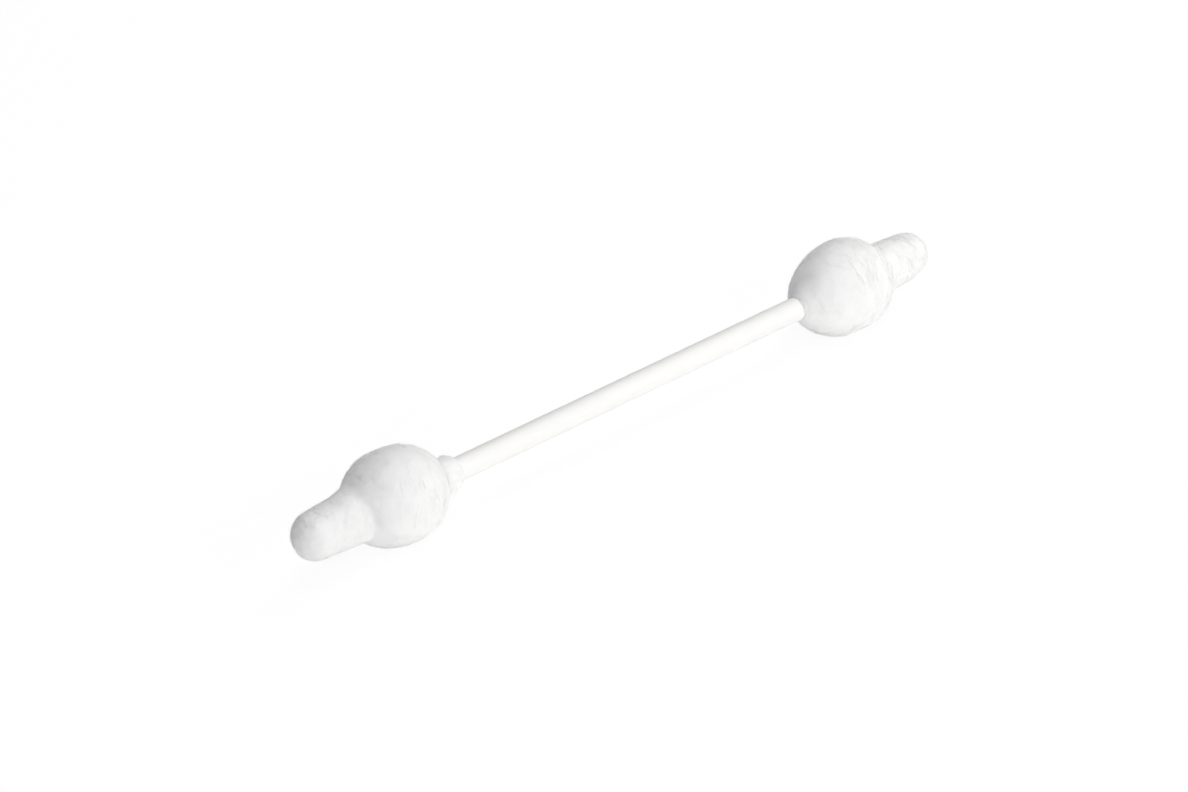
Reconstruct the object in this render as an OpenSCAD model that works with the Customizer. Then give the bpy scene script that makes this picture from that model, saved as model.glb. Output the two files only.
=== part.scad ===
// Double-ended cotton swab of the safety kind, lying on its side.
// A rod of rolled paper carries a wound cotton tip at each end. Each tip is a large ball that
// can't go in too far, with a smaller round nose in front of it. The left tip's cotton has also
// crept along the rod behind its ball, in a small lumpy collar.
// Sizes are millimetres. X runs along the rod from the left tip to the right one and Z is up.
// The origin is under the middle of the swab, on the surface that it lies on.

/* [Paper stick] */
// Diameter of the rod
stick_d = 2.25; // [1.9:0.05:2.7]
// Length of the whole rod, with the ends that the cotton covers
stick_l = 67; // [58:0.5:80]

/* [Cotton nose] */
// Diameter of the nose where its round end turns into its flank
nose_d = 4.7; // [4.2:0.1:5.4]
// Length of the nose's round end
nose_dome_l = 2.7; // [2:0.1:4]
// Angle at which the nose's flank widens towards the ball
nose_taper = 3.5; // [1:0.5:6]
// Cotton in front of the rod's end
nose_cover = 4.5; // [3:0.1:6]

/* [Cotton ball] */
// Diameter of each ball
ball_d = 9.1; // [8.4:0.1:10]
// Length of each ball's widest band
ball_band_l = 0.8; // [0.2:0.1:1.6]
// Radius of the soft crease between nose and ball
crease_r = 1.2; // [0.4:0.1:1.5]
// Depth of the small flat that a ball rests on
rest_depth = 0.12; // [0.06:0.02:0.2]

/* [Left tip] */
// From the end of the left nose to the front of its ball's widest band
left_nose_l = 11.3; // [9.6:0.1:12.4]
// Length of the left ball's back, from its widest band to its pole
left_back_l = 4.8; // [4:0.1:6]

/* [Right tip] */
// From the end of the right nose to the front of its ball's widest band
right_nose_l = 9.8; // [9.6:0.1:12.4]
// Length of the right ball's back, from its widest band to its pole
right_back_l = 5.3; // [4:0.1:6]

/* [Collar on the left tip] */
// Length of the collar along the rod
collar_l = 1.6; // [1.2:0.1:2]
// Height of the collar above the rod
collar_h = 0.6; // [0.4:0.05:0.8]
// Distance from the mouth of the ball's back to the middle of the collar
collar_gap = 0.55; // [0.3:0.05:0.8]
// Number of puffs of cotton round the collar
puffs = 7; // [5:1:9]
// Radius of a middling puff
puff_r = 0.5; // [0.4:0.02:0.6]
// How much the puffs differ in radius
puff_vary = 0.06; // [0:0.02:0.1]
// Height of a puff's middle above the rod
puff_lift = 0.34; // [0.2:0.02:0.4]
// Lean of the ring of puffs, which stands further from the ball on top than below
puff_lean = 9; // [0:1:14]

/* [Hidden] */
$fn = 96;
stick_r = stick_d / 2;
nose_r = nose_d / 2;
ball_r = ball_d / 2;
axis_h = ball_r - rest_depth;
tip_end = stick_l / 2 + nose_cover;
bend_steps = 20;
puff_beat = 150;
cotton_white = [0.97, 0.97, 0.96];
paper_white = [0.96, 0.95, 0.92];

// Slope of the nose's flank, which starts where the round end has turned that far
flank_slope = tan(nose_taper);
dome_turn = atan(nose_r / (nose_dome_l * flank_slope));
flank_start = [nose_r * sin(dome_turn), nose_dome_l * (1 - cos(dome_turn))];

// The outline of a tip is a list of [radius, distance from the nose's end].

// Points along part of an ellipse about a centre
function bend(centre, half_r, half_l, from, to) =
    [for (i = [0:bend_steps])
        let (turn = from + (to - from) * i / bend_steps)
        centre + [half_r * cos(turn), half_l * sin(turn)]];

// Centre of the crease's circle, which touches the flank on one side and the ball on the other
function crease_centre(nose_l) =
    let (
        stretch = sqrt(1 + flank_slope ^ 2),
        base = flank_start[0] - flank_slope * flank_start[1] + crease_r * stretch,
        half = nose_l - base * flank_slope,
        rest = nose_l ^ 2 + base ^ 2 - (ball_r + crease_r) ^ 2,
        at = (half - sqrt(half ^ 2 - stretch ^ 2 * rest)) / stretch ^ 2
    )
    [base + flank_slope * at, at];

// Round end of the nose, crease, front of the ball, then its widest band and back
function tip_outline(nose_l, back_l) =
    let (
        crease = crease_centre(nose_l),
        meet = atan2(nose_l - crease[1], crease[0])
    )
    concat(
        bend([0, nose_dome_l], nose_r, nose_dome_l, -90, dome_turn - 90),
        bend(crease, crease_r, crease_r, 180 - nose_taper, 180 - meet),
        bend([0, nose_l], ball_r, ball_r, -meet, 0),
        bend([0, nose_l + ball_band_l], ball_r, back_l, 0, 90)
    );

// Distance from the nose's end to the mouth, where the rod leaves the ball's back
function mouth(nose_l, back_l) =
    nose_l + ball_band_l + back_l * sqrt(1 - (stick_r / ball_r) ^ 2);

// A low round bank of cotton about the rod, with a leaning ring of larger and smaller puffs on it
module collar() {
    rotate_extrude()
        polygon(concat(
            [[0, -collar_l / 2]],
            bend([stick_r, 0], collar_h, collar_l / 2, -90, 90),
            [[0, collar_l / 2]]
        ));
    rotate([0, puff_lean, 0])
        for (i = [0:puffs - 1])
            rotate([0, 0, 360 * i / puffs])
                translate([stick_r + puff_lift, 0, 0])
                    sphere(r = puff_r + puff_vary * sin(puff_beat * i));
}

// One tip standing on its nose's end, with the socket that the rod fills; what is given as
// children is wound on with it, with its zero at the mouth
module wound_tip(nose_l, back_l) {
    difference() {
        union() {
            rotate_extrude()
                polygon(tip_outline(nose_l, back_l));
            translate([0, 0, mouth(nose_l, back_l)])
                children();
        }
        translate([0, 0, nose_cover])
            cylinder(r = stick_r, h = stick_l / 2);
    }
}

// Takes off what would be under the surface that the swab lies on
module rest_flat() {
    difference() {
        children();
        translate([-tip_end, -ball_d, -ball_d])
            cube([2 * tip_end, 2 * ball_d, ball_d]);
    }
}

module paper_stick() {
    color(paper_white)
        translate([-stick_l / 2, 0, axis_h])
            rotate([0, 90, 0])
                cylinder(r = stick_r, h = stick_l);
}

module left_cotton_tip() {
    color(cotton_white)
        rest_flat()
            translate([-tip_end, 0, axis_h])
                rotate([0, 90, 0])
                    wound_tip(left_nose_l, left_back_l)
                        translate([0, 0, collar_gap])
                            collar();
}

module right_cotton_tip() {
    color(cotton_white)
        rest_flat()
            translate([tip_end, 0, axis_h])
                rotate([0, -90, 0])
                    wound_tip(right_nose_l, right_back_l);
}

paper_stick();
left_cotton_tip();
right_cotton_tip();
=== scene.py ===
# Looks of a double-ended cotton swab of the safety kind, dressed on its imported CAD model.
# The two wound cotton tips stand for the plain CAD tips. The rolled paper stick keeps its CAD mesh
# and gets its paper finish. Everything is in metres, in the CAD frame.
import math
import random

import bpy
import numpy as np
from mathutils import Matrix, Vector, noise
from mathutils.bvhtree import BVHTree


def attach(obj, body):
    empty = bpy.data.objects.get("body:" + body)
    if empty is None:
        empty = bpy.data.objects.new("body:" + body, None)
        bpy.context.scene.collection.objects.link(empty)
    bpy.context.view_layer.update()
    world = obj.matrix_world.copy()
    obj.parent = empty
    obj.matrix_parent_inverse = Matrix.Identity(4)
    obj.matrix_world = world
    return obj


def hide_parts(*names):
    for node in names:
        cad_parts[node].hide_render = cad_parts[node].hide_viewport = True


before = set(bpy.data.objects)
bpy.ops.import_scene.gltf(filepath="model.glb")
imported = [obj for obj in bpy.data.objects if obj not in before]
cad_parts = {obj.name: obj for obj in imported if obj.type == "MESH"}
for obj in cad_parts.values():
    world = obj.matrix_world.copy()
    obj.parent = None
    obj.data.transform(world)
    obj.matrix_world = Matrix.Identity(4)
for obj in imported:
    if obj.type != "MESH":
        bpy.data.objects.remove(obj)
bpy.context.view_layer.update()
print("loaded", sorted(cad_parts))

# What both tips share: the turned outline and the way the cotton is wound. Angles go round the
# stick from the top towards +Y.
cottonTip = {
    "axisHeight": 0.00443,
    "stickRadius": 0.001125,
    "noseTaper": math.radians(3.5),
    "ballBand": 0.0008,
    "outlineSteps": 26,         # in each arc
    "creaseMiddle": 1.62,       # place of the crease, in arcs from the nose's end
    "startSize": 0.0002,        # of the plane that becomes the outline's first point
    "sameSpot": 0.0000001,      # outline points closer than this are one
    "spinSteps": 96,
    "mergeGap": 0.000002,
    "voxel": 0.0001,
    "blendFactor": 0.5,
    "blendSteps": 5,
    "lipHeight": 0.0014,
    "lipHollow": 2.0,
    "socketTight": 0.00001,     # the cotton grips the stick by this much
    "tightFrom": 0.0002,        # from this far behind the stick's end
    # Near the stick the cotton moves less: from how far before the stick's end, up to what height
    "sculptFade": (0.0010, 0.0004),
    "askewFade": (0.0006, 0.0011),
    # Size, height, and what is added to the tip's seed
    "broadLumps": (0.0034, 0.00008, 0),
    "softDimples": (0.0010, 0.000036, 5),
    "smallDimples": (0.00045, 0.000016, 9),
    "lumpSeedStep": 3.1,
    "windingBands": ((0.00055, 0.0013), 0.000011),  # width and length, height
    "waver": (0.004, 0.0007),                       # length, distance aside
    "bandSeedStep": 1.7,
    "girth": 0.0035,            # radius at which the winding is measured round the tip
    "rowsAtOnce": 4096,
    "lowSide": 221,             # angle at which the crease is sharpest
    "creaseWidth": 0.0003,
    "hollowWidth": 0.0006,
    "reachWidths": (0.0007, 0.0013),    # towards the nose, towards the ball
    "mouthWidth": 0.00055,
}

leftTip = {
    "name": "leftCottonTip",
    "node": "left_cotton_tip",
    "noseEnd": -0.03734,
    "inward": 1,
    "noseLength": 0.01064,
    "noseRadius": 0.00224,
    "domeLength": 0.00212,
    "socketStart": 0.0039,              # cotton in front of the stick's end
    "creaseRadius": 0.0014,
    "ballRadius": 0.00452,
    "ballBack": 0.0049,
    "shift": (0.00022, 0.00009),        # across and upwards: it was wound off the stick's middle
    "lean": (-0.0066, -0.006),          # the same for each metre along the nose
    "creaseCut": 0.00014,
    "frontReach": (340, 0.0004),        # at this angle the ball's front comes this far over the nose
    "creaseHollow": (305, 0.00022),     # at this angle the crease is this much deeper
    "lumpShare": 1.0,                   # of the dimples and bands
    "mouthDip": 0.00010,
    "lip": 0.00010,                     # the cotton reaches this much along the stick at its mouth
    # Angle, place from the nose's end, depth, width; a negative one stands proud
    "dents": [(221, 0.00885, 0.00024, 0.0025), (41, 0.00665, -0.00024, 0.0010),
              (285, 0.0070, 0.00020, 0.0013)],
    "seed": 3,
}

rightTip = {
    "name": "rightCottonTip",
    "node": "right_cotton_tip",
    "noseEnd": 0.03809,
    "inward": -1,
    "noseLength": 0.00989,
    "noseRadius": 0.00224,
    "domeLength": 0.00230,
    "socketStart": 0.0045,
    "creaseRadius": 0.0014,
    "ballRadius": 0.00447,
    "ballBack": 0.0051,
    "shift": (0.0, 0.00004),
    "lean": (0.003, 0.004),
    "creaseCut": 0.00008,
    "frontReach": (0, 0.0),
    "creaseHollow": (0, 0.0),
    "lumpShare": 0.6,
    "mouthDip": 0.00004,
    "lip": 0.00065,
    "dents": [(41, 0.0130, 0.00034, 0.0022), (221, 0.0104, 0.00012, 0.0022),
              (221, 0.0008, 0.00034, 0.0013)],
    "seed": 11,
}

# Cotton that crept along the stick behind the left ball. Places are from the ball's mouth.
collar = {
    "bankPlace": 0.00080,
    "bankRadius": 0.00120,
    "bankThickness": 0.00034,
    "bankStretch": 3.2,
    "bankSegments": (72, 24),
    "puffStretch": 1.25,
    "puffSubdivisions": 4,
    "blendFrom": 0.0003,        # before the ball's mouth
    "blendSteps": 10,
    "puffs": [                  # angle, place, distance from the stick's axis, radius
        (40, 0.00112, 0.00114, 0.00052),
        (66, 0.00055, 0.00110, 0.00046),
        (14, 0.00120, 0.00106, 0.00042),
        (221, 0.00035, 0.00172, 0.00060),
        (206, 0.00075, 0.00150, 0.00050),
        (236, 0.00090, 0.00142, 0.00050),
        (222, 0.00130, 0.00116, 0.00034),
        (280, 0.00055, 0.00124, 0.00050),
        (320, 0.00070, 0.00110, 0.00048),
        (350, 0.00035, 0.00112, 0.00050),
        (96, 0.00060, 0.00120, 0.00048),
        (131, 0.00045, 0.00130, 0.00052),
        (166, 0.00060, 0.00136, 0.00052),
    ],
}


# Small helpers
def deselectAll():
    if bpy.context.object and bpy.context.object.mode != "OBJECT":
        bpy.ops.object.mode_set(mode="OBJECT")
    bpy.ops.object.select_all(action="DESELECT")


def pick(*objs):
    deselectAll()
    for obj in objs:
        obj.select_set(True)
    bpy.context.view_layer.objects.active = objs[0]


def addApplied(obj, kind, **settings):
    pick(obj)
    modifier = obj.modifiers.new(kind.lower(), kind)
    for key, value in settings.items():
        setattr(modifier, key, value)
    bpy.ops.object.modifier_apply(modifier=modifier.name)


def settle(obj):
    pick(obj)
    bpy.ops.object.transform_apply(location=True, rotation=True, scale=True)


# The turned outline: points of (distance from the nose's end, radius)
def arc(centre, lengthways, outwards, start, end, steps):
    points = []
    for i in range(steps + 1):
        turn = start + (end - start) * i / steps
        points.append((centre[0] + lengthways * math.sin(turn), centre[1] + outwards * math.cos(turn)))
    return points


def tipOutline(tip):
    c = cottonTip
    slope = math.tan(c["noseTaper"])
    stretch = math.sqrt(1 + slope * slope)
    domeTurn = math.atan(tip["noseRadius"] / (tip["domeLength"] * slope))
    flankAt = tip["domeLength"] * (1 - math.cos(domeTurn))
    flankRadius = tip["noseRadius"] * math.sin(domeTurn)
    base = flankRadius - slope * flankAt + tip["creaseRadius"] * stretch
    half = tip["noseLength"] - base * slope
    rest = tip["noseLength"] ** 2 + base ** 2 - (tip["ballRadius"] + tip["creaseRadius"]) ** 2
    creaseAt = (half - math.sqrt(half * half - stretch * stretch * rest)) / stretch ** 2
    creaseOut = base + slope * creaseAt
    meet = math.atan2(tip["noseLength"] - creaseAt, creaseOut)
    steps = c["outlineSteps"]
    quarter = math.pi / 2
    dome = arc((tip["domeLength"], 0), tip["domeLength"], tip["noseRadius"],
               -quarter, domeTurn - quarter, steps)
    crease = arc((creaseAt, creaseOut), tip["creaseRadius"], tip["creaseRadius"],
                 math.pi - c["noseTaper"], math.pi - meet, steps)
    front = arc((tip["noseLength"], 0), tip["ballRadius"], tip["ballRadius"], -meet, 0, steps)
    backTurn = math.acos(c["stickRadius"] / tip["ballRadius"])
    back = arc((tip["noseLength"] + c["ballBand"], 0), tip["ballBack"], tip["ballRadius"],
               0, backTurn, steps)
    back = [(at + tip["lip"] * max(0, 1 - (radius - c["stickRadius"]) / c["lipHeight"]) ** c["lipHollow"],
             radius) for at, radius in back]
    return dome + crease + front + back


def mouthPlace(tip):
    share = cottonTip["stickRadius"] / tip["ballRadius"]
    return tip["noseLength"] + cottonTip["ballBand"] + tip["ballBack"] * math.sqrt(1 - share * share)


# One point is drawn out along the outline and spun round the stick's axis
def spinOutline(tip):
    c = cottonTip
    socket = [(tip["socketStart"], c["stickRadius"]), (tip["socketStart"], 0)]
    points = [Vector((tip["noseEnd"] + tip["inward"] * at, 0, c["axisHeight"] + radius))
              for at, radius in [*tip["outline"], *socket]]
    deselectAll()
    bpy.ops.mesh.primitive_plane_add(size=c["startSize"], location=points[0])
    body = bpy.context.object
    body.name = tip["name"]
    bpy.ops.object.transform_apply(location=True, rotation=True, scale=True)
    bpy.ops.object.mode_set(mode="EDIT")
    bpy.ops.mesh.select_all(action="SELECT")
    bpy.ops.mesh.merge(type="CENTER")
    for before, after in zip(points, points[1:]):
        if (after - before).length > c["sameSpot"]:
            bpy.ops.mesh.extrude_region_move(TRANSFORM_OT_translate={"value": after - before})
    bpy.ops.mesh.select_all(action="SELECT")
    bpy.ops.mesh.spin(steps=c["spinSteps"], angle=2 * math.pi,
                      center=(0, 0, c["axisHeight"]), axis=(1, 0, 0))
    bpy.ops.mesh.select_all(action="SELECT")
    bpy.ops.mesh.remove_doubles(threshold=c["mergeGap"])
    bpy.ops.mesh.normals_make_consistent(inside=False)
    bpy.ops.object.mode_set(mode="OBJECT")
    return body


def addCollar(body, tip):
    mouthAt = tip["noseEnd"] + tip["inward"] * mouthPlace(tip)
    roundSteps, throughSteps = collar["bankSegments"]
    deselectAll()
    bpy.ops.mesh.primitive_torus_add(
        major_radius=collar["bankRadius"], minor_radius=collar["bankThickness"],
        major_segments=roundSteps, minor_segments=throughSteps, rotation=(0, math.pi / 2, 0),
        location=(mouthAt + collar["bankPlace"], 0, cottonTip["axisHeight"]))
    bank = bpy.context.object
    bank.scale = (1, 1, collar["bankStretch"])
    settle(bank)
    pieces = [bank]
    for angle, place, distance, radius in collar["puffs"]:
        turn = math.radians(angle)
        deselectAll()
        bpy.ops.mesh.primitive_ico_sphere_add(
            subdivisions=collar["puffSubdivisions"], radius=radius,
            location=(mouthAt + place, distance * math.sin(turn),
                      cottonTip["axisHeight"] + distance * math.cos(turn)))
        puff = bpy.context.object
        puff.scale = (collar["puffStretch"], 1, 1)
        settle(puff)
        pieces.append(puff)
    pick(body, *pieces)
    bpy.ops.object.join()


# The puffs melt into one soft collar, and that into the ball
def blendCollar(body, tip):
    edge = tip["noseEnd"] + tip["inward"] * (mouthPlace(tip) - collar["blendFrom"])
    pick(body)
    body.data.polygons.foreach_set("select", [p.center.x > edge for p in body.data.polygons])
    bpy.ops.object.mode_set(mode="EDIT")
    bpy.ops.mesh.vertices_smooth(factor=cottonTip["blendFactor"], repeat=collar["blendSteps"])
    bpy.ops.object.mode_set(mode="OBJECT")


def readPoints(body):
    co = np.empty(len(body.data.vertices) * 3)
    body.data.vertices.foreach_get("co", co)
    return co.reshape(-1, 3)


def writePoints(body, co):
    body.data.vertices.foreach_set("co", co.ravel())
    body.data.update()


# Every point's distance from the nose's end, and where it is about the stick's axis
def stickPlaces(co, tip):
    at = (co[:, 0] - tip["noseEnd"]) * tip["inward"]
    across = co[:, 1]
    upwards = co[:, 2] - cottonTip["axisHeight"]
    return at, across, upwards, np.hypot(across, upwards)


# Place of every point in the winding: along the outline, and round it at one fixed radius, so that
# streaks run round the tip everywhere, also over its ends
def windingPlaces(co, tip):
    girth, rows = cottonTip["girth"], cottonTip["rowsAtOnce"]
    outline, along = tip["outline"], tip["along"]
    at, across, upwards, radius = stickPlaces(co, tip)
    nearest = np.empty(len(co), int)
    for start in range(0, len(co), rows):
        part = slice(start, start + rows)
        gap = (at[part, None] - outline[None, :, 0]) ** 2 + (radius[part, None] - outline[None, :, 1]) ** 2
        nearest[part] = gap.argmin(axis=1)
    low = np.clip(nearest - 1, 0, len(outline) - 3)
    leg = outline[low + 2] - outline[low]
    size = np.maximum((leg ** 2).sum(axis=1), 1e-12)    # never nothing
    share = ((at - outline[low, 0]) * leg[:, 0] + (radius - outline[low, 1]) * leg[:, 1]) / size
    place = along[low] + np.clip(share, 0, 1) * (along[low + 2] - along[low])
    turn = np.arctan2(across, upwards)
    return np.stack([place, girth * np.cos(turn), girth * np.sin(turn)], axis=1)


# The materials read this, so that their grain follows the winding
def keepWinding(body, wound):
    layer = body.data.attributes.new("winding", "FLOAT_VECTOR", "POINT")
    layer.data.foreach_set("vector", wound.astype(np.float32).ravel())


def bandHeight(spot, seed):
    (width, length), height = cottonTip["windingBands"]
    waverLength, aside = cottonTip["waver"]
    bend = noise.noise(Vector(spot) / waverLength + Vector((seed, 0, 0)))
    x = (spot[0] + aside * bend) / width
    y = spot[1] / length + seed * cottonTip["bandSeedStep"]
    return height * noise.noise(Vector((x, y, spot[2] / length)))


def lumpHeight(point, kind, seed):
    width, height, added = cottonTip[kind]
    seed += added
    return height * noise.noise(point / width + Vector((seed * cottonTip["lumpSeedStep"], seed, 0)))


def smooth(share):
    share = np.clip(share, 0, 1)
    return share * share * (3 - 2 * share)


def bell(distance, width):
    return np.exp(-(distance / width) ** 2)


# One on the side of the tip at this angle, minus one on the other side
def towardsSide(wound, angle):
    turn = math.radians(angle)
    return (math.cos(turn) * wound[:, 1] + math.sin(turn) * wound[:, 2]) / cottonTip["girth"]


# One on that side, falling to nothing a quarter turn away
def facingSide(wound, angle):
    return np.clip(towardsSide(wound, angle), 0, 1) ** 2


# Nothing where the cotton holds the stick, and one a little above it
def looseShare(tip, at, radius, fade):
    before, height = fade
    share = smooth((radius - cottonTip["stickRadius"]) / height)
    return np.where(at > tip["socketStart"] - before, share, 1.0)


# Nothing stands inside the stick: the cotton closes tightly round it
def gripStick(body, tip):
    c = cottonTip
    co = readPoints(body)
    at, across, upwards, radius = stickPlaces(co, tip)
    hold = c["stickRadius"] - c["socketTight"]
    held = (at > tip["socketStart"] + c["tightFrom"]) & (radius < hold)
    co[held, 1] = across[held] * hold / radius[held]
    co[held, 2] = c["axisHeight"] + upwards[held] * hold / radius[held]
    writePoints(body, co)


# Sculpts the cotton: soft lumps, dimples, bands of the winding, the crease and the mouth
def windCotton(body, tip):
    c = cottonTip
    co = readPoints(body)
    wound = windingPlaces(co, tip)
    keepWinding(body, wound)
    at, _, _, radius = stickPlaces(co, tip)
    toMouth = np.hypot(at - mouthPlace(tip), np.maximum(radius - c["stickRadius"], 0))
    dip = tip["mouthDip"] * bell(toMouth, c["mouthWidth"])
    fromCrease = wound[:, 0] - tip["creasePlace"]
    below = 0.5 + 0.5 * towardsSide(wound, c["lowSide"])
    cut = tip["creaseCut"] * below ** 2 * bell(fromCrease, c["creaseWidth"])
    angle, most = tip["creaseHollow"]
    cut += most * (bell(fromCrease, c["hollowWidth"]) * facingSide(wound, angle))
    angle, most = tip["frontReach"]
    widths = np.where(fromCrease < 0, *c["reachWidths"])
    reach = most * facingSide(wound, angle) * bell(fromCrease, widths)
    for angle, place, depth, width in tip["dents"]:
        turn = math.radians(angle)
        outwards = np.interp(place, *tip["outline"].T)
        middle = (tip["noseEnd"] + tip["inward"] * place, outwards * math.sin(turn),
                  c["axisHeight"] + outwards * math.cos(turn))
        cut += depth * np.exp(-((co - middle) ** 2).sum(axis=1) / width ** 2)
    move = np.empty(len(co))
    for i, spot in enumerate(wound):
        point = Vector(co[i])
        height = lumpHeight(point, "softDimples", tip["seed"])
        height += bandHeight(spot, tip["seed"])
        height += lumpHeight(point, "smallDimples", tip["seed"])
        move[i] = lumpHeight(point, "broadLumps", tip["seed"]) + tip["lumpShare"] * height
    normals = np.empty(len(co) * 3)
    body.data.vertices.foreach_get("normal", normals)    # all at once, before any point moves
    grip = looseShare(tip, at, radius, c["sculptFade"])
    co += normals.reshape(-1, 3) * ((move - cut) * grip)[:, None]
    co[:, 0] -= tip["inward"] * (dip + reach)
    writePoints(body, co)


# The cotton was wound a little off the stick's middle, and its nose leans about the ball's middle.
# This is how far it is pushed across and upwards. The socket stays on the stick.
def pushedAside(tip, at, radius):
    free = looseShare(tip, at, radius, cottonTip["askewFade"])
    fromBall = tip["noseLength"] - at
    return [free * (shift + fromBall * lean) for shift, lean in zip(tip["shift"], tip["lean"])]


# The ball is flat where it rests
def setAskew(body, tip):
    co = readPoints(body)
    at, _, _, radius = stickPlaces(co, tip)
    across, upwards = pushedAside(tip, at, radius)
    co[:, 1] += across
    co[:, 2] = np.maximum(co[:, 2] + upwards, 0)
    writePoints(body, co)


# Fine cotton fibres lie round the tip, a few side by side. Each follows the finished surface, and
# only its ends come a little loose. The shorter fuzz starts on the surface and stands away from it.
fibres = {
    "wisps": 430,
    "perWisp": 2,
    "endClear": (0.0004, 0.0003),   # no wisp's middle is this close to the nose's end or the mouth
    "points": 7,
    "thickness": 0.0000065,
    "thinEnd": 0.45,                # share of the thickness that a fibre keeps at its ends
    "length": (0.0012, 0.0032),
    "lengthShare": (0.7, 1.1),      # of its wisp's length
    "spread": 0.00012,
    "turnSpread": 0.09,
    "slant": 0.4,
    "slantSpread": 0.07,
    "wave": 0.00012,
    "waveTurn": 5,
    "leastRadius": 0.0009,          # fibres over the nose's end turn no faster than here
    "surfaceLift": 0.6,             # of the thickness
    "looseEnd": 0.00003,
    "looseCurve": 4,
    "fuzzHairs": 3600,
    "fuzzSteps": (0, 0.33, 0.67, 1),
    "fuzzLength": (0.00025, 0.00085),
    "fuzzTurn": 0.8,
    "fuzzCurl": 0.35,
    "fuzzRise": (0.00002, 0.00014),
    "fuzzCurve": 1.5,
    "stickClear": 0.00008,          # no hair grows this close to the stick
    "noseFacing": -0.5,             # but one may where the surface looks away from the ball
}


def fibrePath(tip, tree, start, turn, length, slant, wave):
    f = fibres
    path = []
    for j in range(f["points"]):
        share = j / (f["points"] - 1) - 0.5
        aside = wave * math.sin(f["waveTurn"] * share + turn)
        place = min(max(start + slant * length * share + aside, 0), tip["along"][-1])
        at, radius = (np.interp(place, tip["along"], column) for column in tip["outline"].T)
        angle = turn + share * length / max(radius, f["leastRadius"])
        across, upwards = pushedAside(tip, at, radius)
        rough = Vector((tip["noseEnd"] + tip["inward"] * at, radius * math.sin(angle) + across,
                        cottonTip["axisHeight"] + radius * math.cos(angle) + upwards))
        spot, normal = tree.find_nearest(rough)[:2]
        lift = f["thickness"] * f["surfaceLift"] + f["looseEnd"] * abs(2 * share) ** f["looseCurve"]
        path.append(spot + normal * lift)
    return path


# A hair from the middle of one face, mostly round the stick, that rises towards its loose end
def fuzzPath(face, draw):
    f = fibres
    endOn = abs(face.normal.x) >= 0.99    # the face looks along the stick
    sideways = Vector((0, 1, 0)) if endOn else Vector((1, 0, 0))
    around = face.normal.cross(sideways).normalized()
    ahead = around.cross(face.normal)
    turn = draw.gauss(0, f["fuzzTurn"]) + draw.choice((0, math.pi))
    run = (around * math.cos(turn) + ahead * math.sin(turn)) * draw.uniform(*f["fuzzLength"])
    curl = run.cross(face.normal) * draw.gauss(0, f["fuzzCurl"])
    rise = face.normal * draw.uniform(*f["fuzzRise"])
    return [face.center + run * t + curl * t * t + rise * t ** f["fuzzCurve"] for t in f["fuzzSteps"]]


def addHair(data, path):
    if min(place.z for place in path) < fibres["thickness"]:
        return
    thin = fibres["thinEnd"]
    spline = data.splines.new("POLY")
    spline.points.add(len(path) - 1)
    for j, place in enumerate(path):
        spline.points[j].co = (*place, 1)
        spline.points[j].radius = thin + (1 - thin) * math.sin(math.pi * j / (len(path) - 1))


def layFibres(body, tip):
    f = fibres
    draw = random.Random(tip["seed"])
    faces = body.data.polygons
    tree = BVHTree.FromPolygons([v.co for v in body.data.vertices], [p.vertices for p in faces])
    data = bpy.data.curves.new(tip["name"] + "Fibres", "CURVE")
    data.dimensions = "3D"
    data.bevel_depth = f["thickness"]
    data.bevel_resolution = 0
    data.use_fill_caps = True
    first, last = f["endClear"][0], tip["along"][-1] - f["endClear"][1]
    for _ in range(f["wisps"]):
        start, turn = draw.uniform(first, last), draw.uniform(0, 2 * math.pi)
        length, slant = draw.uniform(*f["length"]), draw.gauss(0, f["slant"])
        for _ in range(f["perWisp"]):
            path = fibrePath(tip, tree, start + draw.gauss(0, f["spread"]),
                             turn + draw.gauss(0, f["turnSpread"]),
                             length * draw.uniform(*f["lengthShare"]),
                             slant + draw.gauss(0, f["slantSpread"]), draw.uniform(0, f["wave"]))
            addHair(data, path)
    bare = cottonTip["stickRadius"] + f["stickClear"]
    for _ in range(f["fuzzHairs"]):
        face = faces[draw.randrange(len(faces))]
        fromAxis = math.hypot(face.center.y, face.center.z - cottonTip["axisHeight"])
        if fromAxis > bare or face.normal.x * tip["inward"] < f["noseFacing"]:
            addHair(data, fuzzPath(face, draw))
    hair = bpy.data.objects.new(tip["name"] + "Fibres", data)
    bpy.context.scene.collection.objects.link(hair)
    pick(hair)
    bpy.ops.object.convert(target="MESH")
    bpy.ops.object.shade_smooth()
    keepWinding(hair, windingPlaces(readPoints(hair), tip))
    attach(hair, "root")
    print("laid", hair.name, "with", len(hair.data.polygons), "faces")
    return hair


def makeTip(tip, withCollar):
    tip["outline"] = np.array(tipOutline(tip))
    tip["along"] = np.concatenate([[0], np.cumsum(np.hypot(*np.diff(tip["outline"], axis=0).T))])
    tip["creasePlace"] = tip["along"][int(cottonTip["outlineSteps"] * cottonTip["creaseMiddle"])]
    body = spinOutline(tip)
    if withCollar:
        addCollar(body, tip)
    addApplied(body, "REMESH", mode="VOXEL", voxel_size=cottonTip["voxel"])
    addApplied(body, "SMOOTH", factor=cottonTip["blendFactor"], iterations=cottonTip["blendSteps"])
    if withCollar:
        blendCollar(body, tip)
    gripStick(body, tip)
    windCotton(body, tip)
    setAskew(body, tip)
    settle(body)
    bpy.ops.object.shade_smooth()
    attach(body, "root")
    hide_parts(tip["node"])
    print("made", body.name, "with", len(body.data.polygons), "faces")
    return body


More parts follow.
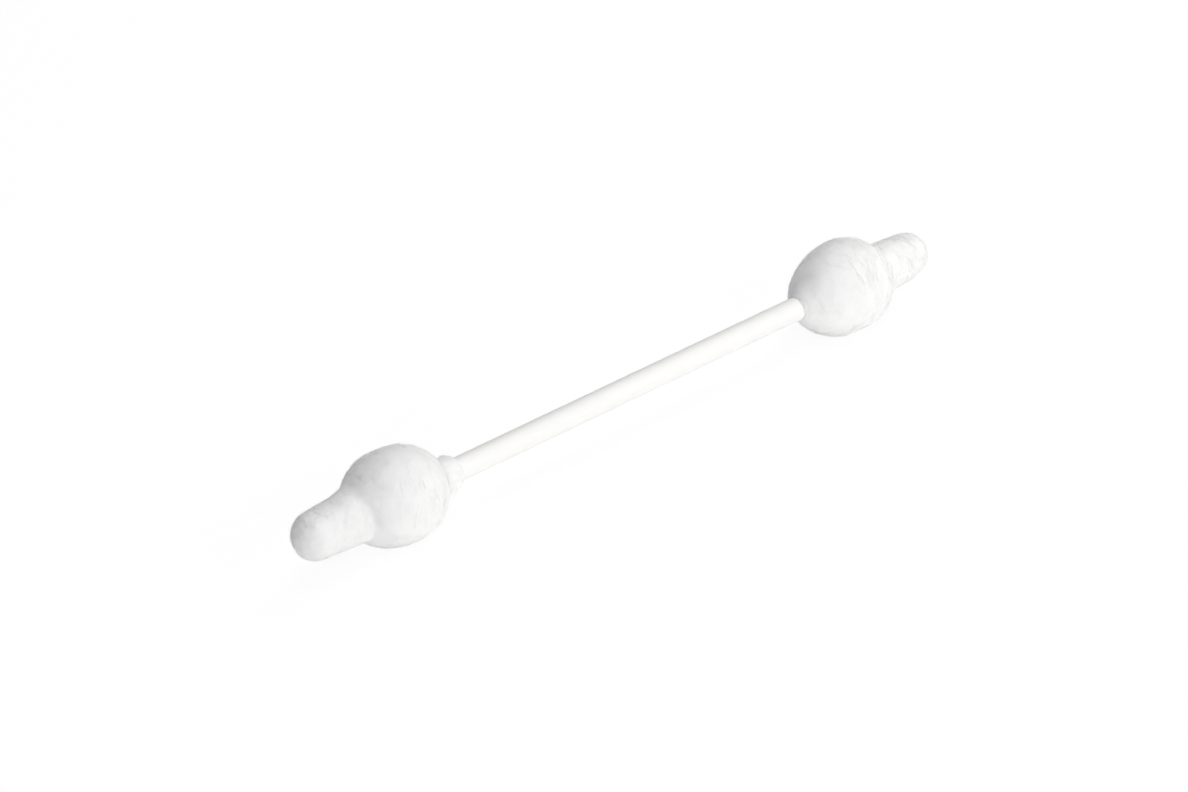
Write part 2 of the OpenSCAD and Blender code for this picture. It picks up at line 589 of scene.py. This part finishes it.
# Materials
grainUse = {
    "cottonStreaks": {"Grain Size": (0.00042, 0.0008, 0.0008), "Waver": 0.0006},
    "cottonFibres": {"Grain Size": (0.00010, 0.0004, 0.0004), "Waver": 0.0005},
    "paperFibres": {"Grain Size": (0.0011, 0.00009, 0.00009), "Waver": 0.0003},
}


grainNoise = {
    "wander": {"Scale": 260, "Detail": 1},
    "streak": {"Scale": 1, "Detail": 2, "Roughness": 0.55},
    "contrast": {"From Min": 0.3, "From Max": 0.7},
}


def setInputs(node, values):
    for socket, value in values.items():
        node.inputs[socket].default_value = value


def addNode(tree, kind, values=None, **settings):
    node = tree.nodes.new(kind)
    for key, value in settings.items():
        setattr(node, key, value)
    setInputs(node, values or {})
    return node


# Streaky grain that runs across its first axis
def buildGrainGroup():
    tree = bpy.data.node_groups.new("streakyGrain", "ShaderNodeTree")
    for name, kind in (("Place", "Vector"), ("Grain Size", "Vector"), ("Waver", "Float")):
        tree.interface.new_socket(name, in_out="INPUT", socket_type="NodeSocket" + kind)
    for name in ("Streaks", "Height"):
        tree.interface.new_socket(name, in_out="OUTPUT", socket_type="NodeSocketFloat")
    link = tree.links.new
    entry = addNode(tree, "NodeGroupInput")
    leave = addNode(tree, "NodeGroupOutput")
    wander = addNode(tree, "ShaderNodeTexNoise", grainNoise["wander"])
    centred = addNode(tree, "ShaderNodeMath", {1: 0.5}, operation="SUBTRACT")
    amount = addNode(tree, "ShaderNodeMath", operation="MULTIPLY")
    aside = addNode(tree, "ShaderNodeCombineXYZ")
    moved = addNode(tree, "ShaderNodeVectorMath", operation="ADD")
    sized = addNode(tree, "ShaderNodeVectorMath", operation="DIVIDE")
    streak = addNode(tree, "ShaderNodeTexNoise", grainNoise["streak"])
    contrast = addNode(tree, "ShaderNodeMapRange", grainNoise["contrast"])
    link(entry.outputs["Place"], wander.inputs["Vector"])
    link(wander.outputs["Fac"], centred.inputs[0])
    link(centred.outputs[0], amount.inputs[0])
    link(entry.outputs["Waver"], amount.inputs[1])
    link(amount.outputs[0], aside.inputs["X"])
    link(entry.outputs["Place"], moved.inputs[0])
    link(aside.outputs[0], moved.inputs[1])
    link(moved.outputs[0], sized.inputs[0])
    link(entry.outputs["Grain Size"], sized.inputs[1])
    link(sized.outputs[0], streak.inputs["Vector"])
    link(streak.outputs["Fac"], contrast.inputs["Value"])
    link(contrast.outputs["Result"], leave.inputs["Streaks"])
    link(streak.outputs["Fac"], leave.inputs["Height"])
    return tree


def placeGrain(tree, group, source, use):
    node = addNode(tree, "ShaderNodeGroup", grainUse[use], node_tree=group)
    tree.links.new(source, node.inputs["Place"])
    return node


def newMaterial(name):
    material = bpy.data.materials.new(name)
    material.use_nodes = True
    return material, material.node_tree, material.node_tree.nodes["Principled BSDF"]


# The colour runs from the finish's shade to its crest with this share. The share comes from the same grain
# that lifts the bump, so the colour is darker in the grain's hollows and lighter on its crests: painted
# shade in the hollows, over the grain's own uneven tone
def addColour(tree, shader, finish, share):
    colour = addNode(tree, "ShaderNodeMix", {6: finish["shade"], 7: finish["crest"]}, data_type="RGBA")
    tree.links.new(share, colour.inputs["Factor"])
    tree.links.new(colour.outputs[2], shader.inputs["Base Color"])


def addBump(tree, depth, height):
    bump = addNode(tree, "ShaderNodeBump", {"Distance": depth})
    tree.links.new(height, bump.inputs["Height"])
    return bump


cottonFinish = {
    # The cotton's own uneven fibre tone, with painted shade in the hollows of the grain's bump: shade is
    # the hollow colour, crest the top
    "shade": (0.920, 0.920, 0.920, 1),
    "crest": (0.970, 0.968, 0.963, 1),
    "fineShare": 0.4,           # of the finer grain in the colour
    "streakDepth": 0.000008,
    "fibreDepth": 0.000004,
    "surface": {
        "Roughness": 1.0,
        "Specular IOR Level": 0.1,
        "Sheen Weight": 0.12,
        "Sheen Roughness": 0.6,
        "Subsurface Weight": 0.6,
        "Subsurface Radius": (1, 1, 1),
        "Subsurface Scale": 0.0005,
    },
}


def makeCottonMaterial(group):
    material, tree, shader = newMaterial("woundCotton")
    link = tree.links.new
    winding = addNode(tree, "ShaderNodeAttribute", attribute_name="winding")
    streaks = placeGrain(tree, group, winding.outputs["Vector"], "cottonStreaks")
    fine = placeGrain(tree, group, winding.outputs["Vector"], "cottonFibres")
    both = addNode(tree, "ShaderNodeMix", {"Factor": cottonFinish["fineShare"]}, data_type="FLOAT")
    link(streaks.outputs["Streaks"], both.inputs["A"])
    link(fine.outputs["Streaks"], both.inputs["B"])
    # Darker where the streaks sit low: painted shade in the grain's hollows, along with the cotton's own
    # tone
    addColour(tree, shader, cottonFinish, both.outputs[0])
    bumpStreaks = addBump(tree, cottonFinish["streakDepth"], streaks.outputs["Height"])
    bumpFine = addBump(tree, cottonFinish["fibreDepth"], fine.outputs["Height"])
    link(bumpStreaks.outputs["Normal"], bumpFine.inputs["Normal"])
    link(bumpFine.outputs["Normal"], shader.inputs["Normal"])
    setInputs(shader, cottonFinish["surface"])
    return material


paperFinish = {
    # The paper's own fibre tone, a little darker in the hollows of its grain's bump: partly painted shade
    "shade": (0.920, 0.915, 0.904, 1),
    "crest": (0.950, 0.946, 0.937, 1),
    "fibreDepth": 0.000003,
    "surface": {"Roughness": 0.75, "Specular IOR Level": 0.3},
}


def makePaperMaterial(group):
    material, tree, shader = newMaterial("rolledPaper")
    where = addNode(tree, "ShaderNodeTexCoord")
    grain = placeGrain(tree, group, where.outputs["Object"], "paperFibres")
    # Darker where the fibre grain sits low: painted shade in its hollows, along with the paper's own tone
    addColour(tree, shader, paperFinish, grain.outputs["Streaks"])
    bump = addBump(tree, paperFinish["fibreDepth"], grain.outputs["Height"])
    tree.links.new(bump.outputs["Normal"], shader.inputs["Normal"])
    setInputs(shader, paperFinish["surface"])
    return material


# Stage, light and camera
studio = {
    "floorSize": 6.0,
    "floorWhite": (0.97, 0.97, 0.97, 1),
    "floorGlow": 0.9,           # share of the floor's look that is plain white
    "glowLevel": 1.03,          # that share and the lit rest come out as white together
    "skyColour": (0.985, 0.99, 1.0, 1),
    "skyLevel": 0.10,
    # Azimuth, elevation, distance, width, watts, colour
    "lamps": {
        "nearSoftbox": (20, 25, 0.20, 0.14, 0.141, (1.0, 0.992, 0.978)),
        "frontSoftbox": (-40, 12, 0.45, 0.22, 0.71, (1.0, 0.998, 0.995)),
        "sideSoftbox": (80, 12, 0.45, 0.22, 0.24, (1.0, 0.990, 0.975)),
        "rightSoftbox": (110, 45, 0.45, 0.22, 0.54, (1.0, 0.985, 0.965)),
        "topSoftbox": (0, 89, 0.45, 0.30, 0.62, (0.980, 0.988, 1.0)),
        "leftSoftbox": (-50, 55, 0.45, 0.25, 0.05, (0.990, 0.993, 1.0)),
        "backSoftbox": (-160, 45, 0.45, 0.22, 0.03, (0.965, 0.982, 1.0)),
    },
}


# One for a ray that should see plain white: from the camera, or by way of metal or glass
def whiteRays(tree):
    path = addNode(tree, "ShaderNodeLightPath")
    first = addNode(tree, "ShaderNodeMath", operation="MAXIMUM")
    second = addNode(tree, "ShaderNodeMath", operation="MAXIMUM")
    tree.links.new(path.outputs["Is Camera Ray"], first.inputs[0])
    tree.links.new(path.outputs["Is Glossy Ray"], first.inputs[1])
    tree.links.new(first.outputs[0], second.inputs[0])
    tree.links.new(path.outputs["Is Transmission Ray"], second.inputs[1])
    return second.outputs[0]


def makeWorld():
    world = bpy.data.worlds.new("paleRoom")
    bpy.context.scene.world = world
    world.use_nodes = True
    tree = world.node_tree
    sky = tree.nodes["Background"]
    setInputs(sky, {"Color": studio["skyColour"], "Strength": studio["skyLevel"]})
    white = addNode(tree, "ShaderNodeBackground", {"Color": (1, 1, 1, 1)})
    choose = addNode(tree, "ShaderNodeMixShader")
    tree.links.new(whiteRays(tree), choose.inputs["Fac"])
    tree.links.new(sky.outputs[0], choose.inputs[1])
    tree.links.new(white.outputs[0], choose.inputs[2])
    tree.links.new(choose.outputs[0], tree.nodes["World Output"].inputs["Surface"])


def makeFloor():
    deselectAll()
    bpy.ops.mesh.primitive_plane_add(size=studio["floorSize"])
    floor = bpy.context.object
    floor.name = "whiteTable"
    material, tree, shader = newMaterial("whiteTable")
    setInputs(shader, {"Base Color": studio["floorWhite"], "Roughness": 1.0, "Specular IOR Level": 0.0})
    glow = addNode(tree, "ShaderNodeEmission", {"Strength": studio["glowLevel"]})
    share = addNode(tree, "ShaderNodeMath", {1: studio["floorGlow"]}, operation="MULTIPLY")
    choose = addNode(tree, "ShaderNodeMixShader")
    tree.links.new(whiteRays(tree), share.inputs[0])
    tree.links.new(share.outputs[0], choose.inputs["Fac"])
    tree.links.new(shader.outputs[0], choose.inputs[1])
    tree.links.new(glow.outputs[0], choose.inputs[2])
    tree.links.new(choose.outputs[0], tree.nodes["Material Output"].inputs["Surface"])
    floor.data.materials.append(material)


def directionFrom(azimuth, elevation):
    turn, rise = math.radians(azimuth), math.radians(elevation)
    return Vector((math.sin(turn) * math.cos(rise), -math.cos(turn) * math.cos(rise), math.sin(rise)))


def makeLights():
    for name, (azimuth, elevation, distance, width, watts, colour) in studio["lamps"].items():
        light = bpy.data.lights.new(name, "AREA")
        light.shape = "DISK"
        light.size = width
        light.energy = watts
        light.color = colour
        lamp = bpy.data.objects.new(name, light)
        bpy.context.scene.collection.objects.link(lamp)
        towards = directionFrom(azimuth, elevation)
        lamp.location = towards * distance
        lamp.rotation_euler = towards.to_track_quat("Z", "Y").to_euler()


view = {
    "azimuth": -40.72,
    "elevation": 33.39,
    "distance": 0.5138,
    "lens": 170.7,
    "clipStart": 0.01,
    "aim": (-0.002108, 0.001015, 0.004496),
}


def makeCamera():
    back = directionFrom(view["azimuth"], view["elevation"])
    data = bpy.data.cameras.new("camera")
    data.lens = view["lens"]
    data.clip_start = view["clipStart"]
    camera = bpy.data.objects.new("camera", data)
    bpy.context.scene.collection.objects.link(camera)
    camera.location = Vector(view["aim"]) + back * view["distance"]
    camera.rotation_euler = back.to_track_quat("Z", "Y").to_euler()
    bpy.context.scene.camera = camera


makeCamera()
leftBody = makeTip(leftTip, True)
rightBody = makeTip(rightTip, False)

grainGroup = buildGrainGroup()
cotton = makeCottonMaterial(grainGroup)
paper = makePaperMaterial(grainGroup)
leftHair = layFibres(leftBody, leftTip)
rightHair = layFibres(rightBody, rightTip)
for tipBody in (leftBody, rightBody, leftHair, rightHair):
    tipBody.data.materials.clear()
    tipBody.data.materials.append(cotton)
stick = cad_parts["paper_stick"]
for materialSlot in stick.material_slots:
    materialSlot.material = paper
print("finished the materials")

makeWorld()
makeFloor()
makeLights()
bpy.context.scene.view_settings.view_transform = "Standard"
print("lit the stage")
